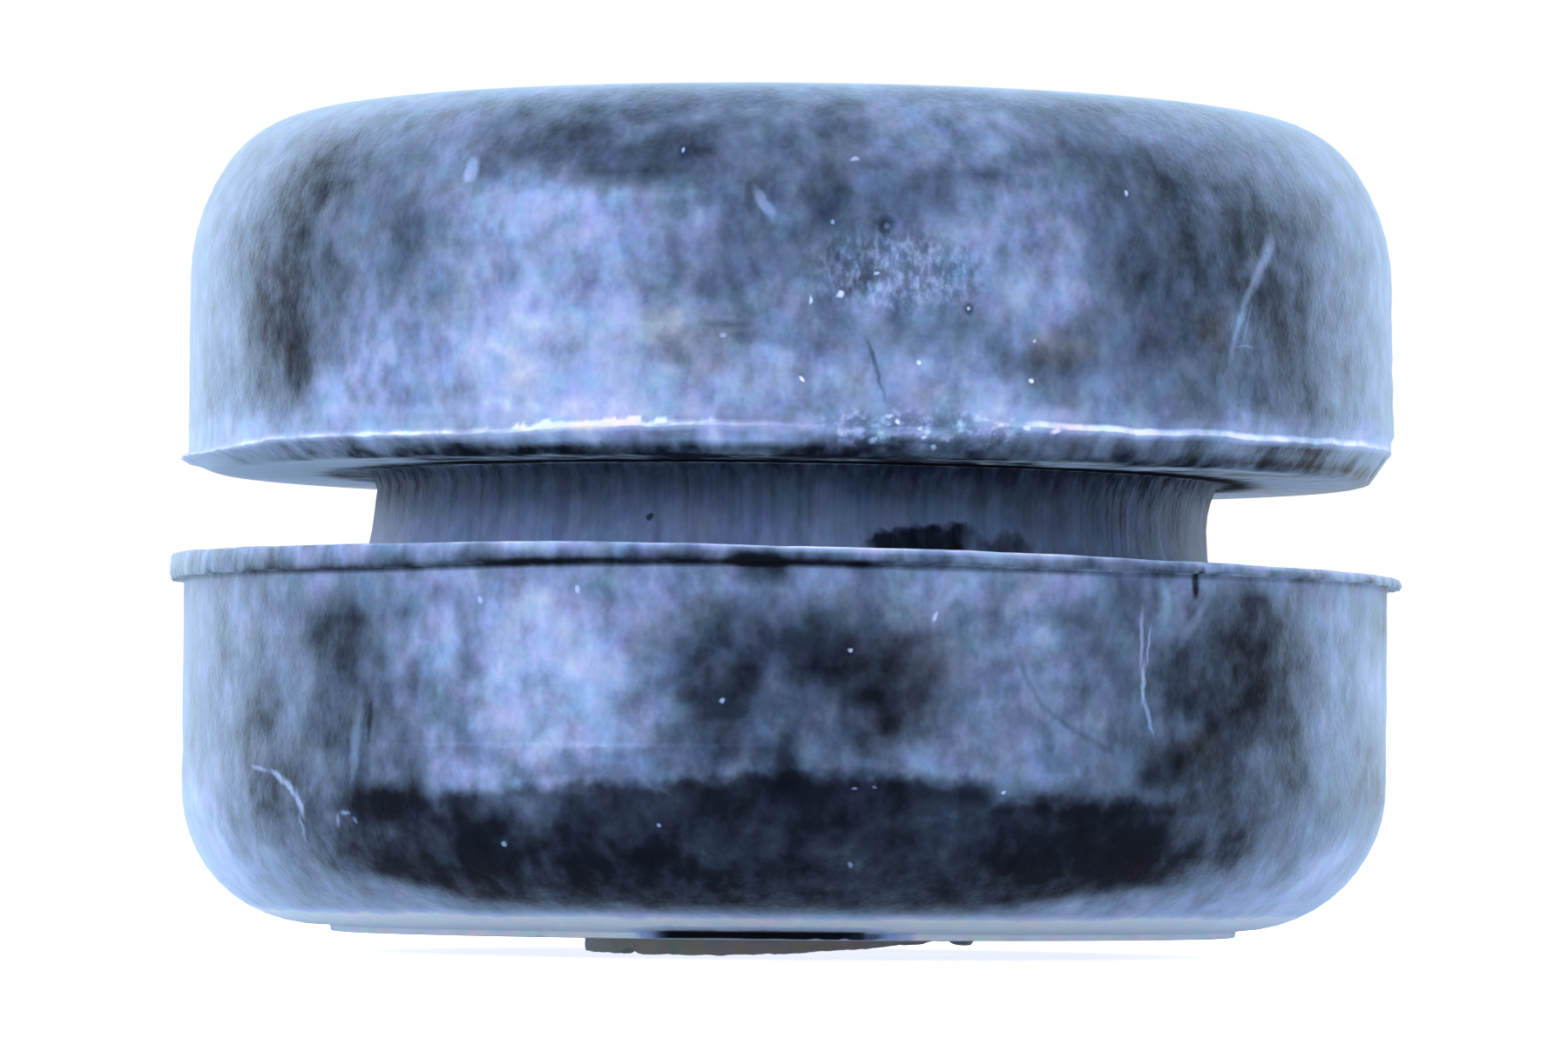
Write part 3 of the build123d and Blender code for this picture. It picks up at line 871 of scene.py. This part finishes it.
# Scratches, specks and pits, in the same terms as the patches
marks = (
    # arc-shaped scratch at the left and the squiggle beside it
    (-57.2, 5.06, 0.06, 0.40, 80, 0.6, 0.24),
    (-54.0, 4.85, 0.09, 0.36, 64, 0.6, 0.32),
    (-52.0, 4.55, 0.09, 0.34, 45, 0.6, 0.34),
    (-50.6, 4.10, 0.09, 0.36, 20, 0.6, 0.30),
    (-50.8, 3.50, 0.07, 0.30, 0, 0.7, 0.20),
    (-45.4, 3.69, 0.07, 0.16, -15, 0.6, 0.20),
    (-44.2, 3.86, 0.16, 0.06, 0, 0.6, 0.26),
    (-43.1, 3.68, 0.06, 0.10, 20, 0.6, 0.20),
    # upright streak and a line above the band
    (-42.6, 5.90, 0.18, 0.95, -8, 0.7, 0.17),
    (-40.9, 6.20, 0.08, 0.60, -6, 0.7, -0.10),
    (-20, 5.72, 4.2, 0.06, 0, 0.9, 0.05),
    # double scratch, drop and drip at the right
    (34.0, 8.65, 0.06, 0.75, -2, 0.7, 0.20),
    (34.2, 7.50, 0.07, 0.50, -3, 0.7, 0.27),
    (34.8, 6.65, 0.07, 0.50, 19, 0.7, 0.22),
    (34.8, 8.45, 0.04, 0.50, -8, 0.5, 0.18),
    (40.3, 10.2, 0.15, 0.34, 0, 0.6, -0.34),
    (40.2, 9.20, 0.12, 0.80, -38, 0.8, 0.11),
    # faint curved rub
    (22.6, 7.34, 0.08, 0.60, 29, 0.8, -0.07),
    (25.0, 6.57, 0.08, 0.55, 56, 0.8, -0.07),
    (28.5, 6.00, 0.08, 0.70, 65, 0.8, -0.06),
    # blob, streak and crack on the upper lobe
    (-30.9, 21.08, 0.24, 0.32, 0, 0.4, 0.20),
    (-2.2, 20.05, 0.14, 0.50, 33, 0.5, 0.16),
    (7.6, 15.98, 0.06, 0.45, 19, 0.7, -0.13),
    (8.45, 15.2, 0.06, 0.38, 17, 0.7, -0.10),
    (-5.7, 16.84, 0.55, 0.10, 0, 0.8, -0.08),
    # long scratch at the upper right
    (49.4, 19.2, 0.20, 0.42, -35, 0.8, 0.24),
    (47.8, 18.5, 0.15, 0.50, -32, 0.8, 0.17),
    (46.0, 17.6, 0.12, 0.65, -24, 0.8, 0.16),
    (44.7, 16.7, 0.10, 0.50, -18, 0.8, 0.11),
    (46.6, 17.3, 0.04, 0.50, -20, 0.5, 0.10),
    (46.2, 16.65, 0.40, 0.03, 0, 0.5, 0.10),
    # specks, and pits with a pale middle
    (1.3, 15.38, 0.05, 0.10, 30, 0.5, 0.50),
    (11.7, 15.89, 0.06, 0.06, 0, 0.5, 0.35),
    (-5.8, 16.56, 0.09, 0.06, 0, 0.5, 0.18),
    (3.9, 19.59, 0.05, 0.05, 0, 0.5, 0.30),
    (16.3, 17.32, 0.16, 0.16, 0, 0.5, -0.14),
    (16.3, 17.32, 0.05, 0.05, 0, 0.5, 0.50),
    (8.8, 19.47, 0.26, 0.22, 0, 0.7, -0.14),
    (8.8, 19.47, 0.08, 0.08, 0, 0.6, 0.16),
    (32.5, 20.58, 0.06, 0.08, 0, 0.5, 0.50),
    (22.3, 15.48, 0.06, 0.06, 0, 0.5, 0.55),
    (22.6, 16.56, 0.04, 0.05, 0, 0.5, 0.30),
    (-9.9, 21.5, 0.05, 0.07, 0, 0.5, 0.50),
    (6.0, 21.29, 0.12, 0.05, 10, 0.5, 0.28),
    (4.6, 17.64, 0.09, 0.08, 0, 0.5, 0.48),
    (1.9, 17.5, 0.05, 0.10, 0, 0.5, 0.40),
    (8.0, 18.23, 0.07, 0.05, 0, 0.5, 0.40),
    (5.8, 8.25, 0.06, 0.05, 0, 0.5, 0.50),
    (-5.6, 6.89, 0.06, 0.05, 0, 0.5, 0.40),
    (13.4, 9.17, 0.14, 0.05, 60, 0.5, 0.26),
    (-28.5, 9.59, 0.07, 0.09, 0, 0.5, 0.24),
    (-26.6, 3.10, 0.07, 0.07, 0, 0.5, 0.40),
    (-18.9, 9.84, 0.06, 0.10, 0, 0.5, 0.28),
    (-11.3, 3.62, 0.05, 0.05, 0, 0.5, 0.40),
    (6.2, 4.62, 0.07, 0.04, 0, 0.5, 0.30),
    (8.1, 4.67, 0.06, 0.04, 0, 0.5, 0.24),
    (20.0, 4.54, 0.07, 0.05, 20, 0.5, 0.42),
    (6.2, 2.61, 0.05, 0.07, 0, 0.5, 0.26),
    # bright torn ends beside the burr
    (9.1, 14.45, 0.11, 0.05, 10, 0.6, 0.30),
    (9.9, 14.31, 0.07, 0.06, 0, 0.6, 0.40),
    (12.0, 14.16, 0.06, 0.07, 0, 0.6, 0.26),
    (12.5, 13.90, 0.07, 0.06, 0, 0.6, 0.34),
    (13.6, 13.68, 0.08, 0.07, 0, 0.6, 0.36),
    (7.7, 13.80, 0.10, 0.08, 0, 0.6, 0.26),
    (15.5, 14.30, 0.08, 0.05, 0, 0.6, 0.20),
    (21.9, 14.20, 0.10, 0.06, 0, 0.6, 0.40),
    (24.8, 14.15, 0.14, 0.07, 10, 0.6, 0.40),
    # dot on the waist
    (-18.3, 11.93, 0.14, 0.09, 0, 0.4, -0.26),
)
film = add_marks(film, tight, marks)
# Rubbed rough patch, and torn grains under the bevel line right of the front
rough = add_marks(blank.node("Value"), tight, ((9.8, 18.3, 2.2, 1.0, 0, 0.5, 1.0),))
grains = clouds(5.0, 2.0, 0.6, (1, 1, 0.6)).step(0.36, 0.74)
film = film + rough * (grains - 0.42) * 0.2
torn = stripe(tight, (3, 21), (13.75, 14.6), 0.5, 0.2)
film = film + torn * (clouds(3.0, 2.0, 0.6).step(0.42, 0.74) - 0.32) * 0.28
film = film + blank.node("Attribute", {"attribute_name": "film_change"}, output=2)

# The colour goes from bare black rubber to thick pale bloom, mottled a little in hue and browned
# where grease and rust reached it, and on the torn collar, where the brown is painted shade
shade = film.node(
    "ValToRGB",
    {
        "stops": (
            (0.00, (0.0025, 0.004, 0.008)),
            (0.10, (0.0050, 0.0082, 0.017)),
            (0.20, (0.016, 0.026, 0.052)),
            (0.30, (0.050, 0.076, 0.142)),
            (0.40, (0.110, 0.160, 0.282)),
            (0.50, (0.195, 0.268, 0.480)),
            (0.60, (0.29, 0.385, 0.67)),
            (0.70, (0.38, 0.48, 0.78)),
            (0.80, (0.52, 0.62, 0.88)),
            (0.95, (0.88, 0.92, 1.00)),
        )
    },
    {0: film},
)
mottle = clouds(1.0, 2.0, 0.6, colour=True)
hue_reach = (0.8, 0.42, 0.5)
least_hue = (0.59, 0.835, 0.87)
tint = mottle.vector("MULTIPLY_ADD", mottle, hue_reach, least_hue)
shade = shade.vector("MULTIPLY", shade, tint)
brown_marks = (
    (25.3, 16.2, 0.9, 0.5, 0, 0.6, 0.6),
    (42, 17.2, 0.6, 0.4, 0, 0.6, 0.6),
    (41.4, 5.56, 0.8, 0.6, 0, 0.6, 0.5),
    (10.5, 7.5, 1.4, 1.4, 0, 0.8, 0.35),
    (-10, 16.4, 1.5, 0.8, 0, 0.6, 0.4),
)
brown = add_marks(blank.node("Value"), loose, brown_marks)
brown = brown + stripe(tight, (12, 75), (13.3, 13.95), 2.0, 0.1) * 0.12
# Painted shade colour: the torn collar, in shade under the lower end, is tinted brown
collar = height.step(0.56, 0.50)
brown = brown.maths("MAXIMUM", brown, collar * 0.5)
rust_tint = (1.35, 1.0, 0.58)
rust = shade.vector("MULTIPLY", shade, rust_tint)
shade = shade.blend(rust, brown)

# Bare rubber is a little smoother, and quite matt in the groove. The bloom scatters light like dust
relief = clouds(6.0, 2.0, 0.6) + rough * clouds(4.5, 2.0, 0.5, (1, 1, 0.5)) * 2.0
bump = relief.node("Bump", (), {"Strength": 0.35, "Distance": 0.06 * mm, "Height": relief})
bare = blank.node(
    "BsdfPrincipled",
    (),
    {
        "Base Color": shade,
        "Roughness": waist * groove * 0.55 + 0.4,
        "IOR": 1.5,
        "Specular IOR Level": 0.03,
        "Normal": bump,
    },
)
bloomed = blank.node(
    "BsdfPrincipled",
    (),
    {
        "Base Color": shade,
        "Roughness": 0.5,
        "IOR": 1.5,
        "Specular IOR Level": 0.10,
        "Sheen Weight": 1.0,
        "Sheen Roughness": 0.5,
        "Sheen Tint": (0.5, 0.73, 1.0, 1.0),
        "Normal": bump,
    },
)
surface = bare.node("MixShader", (), {0: film.step(0.06, 0.34), 1: bare, 2: bloomed})
surface.node("OutputMaterial", (), {0: surface})
mesh.materials.append(rubber)
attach(bushing, "root")
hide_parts("rubber_bushing")

# Floor and backdrop
# A white table top of painted board that runs out to a white backdrop. It shows white to the
# camera and in reflections, keeps a faint shadow, and gives the bushing only plain matt light.
floor_reach = 3.0
floor_mesh = bpy.data.meshes.new("table_top")
sides = ((-1, -1), (1, -1), (1, 1), (-1, 1))
corners = [(across_side * floor_reach, along_side * floor_reach, 0) for across_side, along_side in sides]
floor_mesh.from_pydata(corners, [], [(0, 1, 2, 3)])
floor = bpy.data.objects.new("table_top", floor_mesh)
bpy.context.scene.collection.objects.link(floor)
white = bpy.data.materials.new("white_table")
white.use_nodes = True
white.node_tree.nodes.clear()
blank = Wire(white.node_tree)
rays = blank.node("LightPath")
bright = rays.maths("MAXIMUM", rays, rays.other("Is Glossy Ray"))
matt = blank.node("BsdfDiffuse", (), {"Color": (0.86, 0.86, 0.87, 1)})
paint = blank.node("BsdfDiffuse", (), {"Color": (0.95, 0.95, 0.95, 1)})
glow = blank.node("Emission", (), {"Color": (0.80, 0.83, 0.95, 1), "Strength": 1.0})
shown = blank.node("AddShader", (), {0: glow, 1: paint})
mixed = blank.node("MixShader", (), {0: bright, 1: matt, 2: shown})
blank.node("OutputMaterial", (), {0: mixed})
floor_mesh.materials.append(white)

world = bpy.data.worlds.new("white_room")
bpy.context.scene.world = world
world.use_nodes = True
world.node_tree.nodes.clear()
blank = Wire(world.node_tree)
rays = blank.node("LightPath")
bright = rays.maths("MAXIMUM", rays, rays.other("Is Glossy Ray"))
strength = bright * 0.1 + 0.9
room = blank.node("Background", (), {"Color": (1, 1, 1, 1), "Strength": strength})
blank.node("OutputWorld", (), {0: room})

# Lamps
# A weak soft lamp in front at the left and two stronger ones behind, which pick out the edges of
# both lobes. The camera doesn't see them.


def softbox(name, azimuth, elevation, distance, width, height, power):
    """Soft lamp aimed at the bushing; azimuth 0 is at the front and grows towards +X."""
    lamp = bpy.data.lights.new(name, "AREA")
    lamp.shape = "RECTANGLE"
    lamp.size = width
    lamp.size_y = height
    lamp.energy = power
    holder = bpy.data.objects.new(name, lamp)
    side = radians(azimuth)
    up = radians(elevation)
    out = Vector((sin(side) * cos(up), -cos(side) * cos(up), sin(up)))
    holder.location = out * distance + Vector((0, 0, top_z / 2))
    holder.rotation_mode = "QUATERNION"
    holder.rotation_quaternion = out.to_track_quat("Z", "Y")
    holder.visible_camera = False
    bpy.context.scene.collection.objects.link(holder)


lamp_distance = 0.8
lamp_width = 0.7
softbox("front_left_softbox", -46, 18, lamp_distance, lamp_width, height=0.6, power=1.0)
softbox("back_left_softbox", -140, 20, lamp_distance, lamp_width, height=0.7, power=4.0)
softbox("back_right_softbox", 140, 20, lamp_distance, lamp_width, height=0.7, power=2.5)

# Camera
# A long lens in front, just above the lower end, tipped up a little and rolled slightly.
camera_place = Vector((-0.00006, -0.242, end_face_z + 0.00315))
pitch = pi / 2 + 0.03515
roll = 0.0082
camera_data = bpy.data.cameras.new("camera")
camera_data.lens = 196.1
camera_data.sensor_width = 36
camera_data.clip_start = 0.01
camera_data.clip_end = 20
camera = bpy.data.objects.new("camera", camera_data)
aim = Matrix.Rotation(pitch, 4, "X") @ Matrix.Rotation(roll, 4, "Z")
camera.matrix_world = Matrix.Translation(camera_place) @ aim
bpy.context.scene.collection.objects.link(camera)
bpy.context.scene.camera = camera
bpy.context.scene.view_settings.view_transform = "Standard"
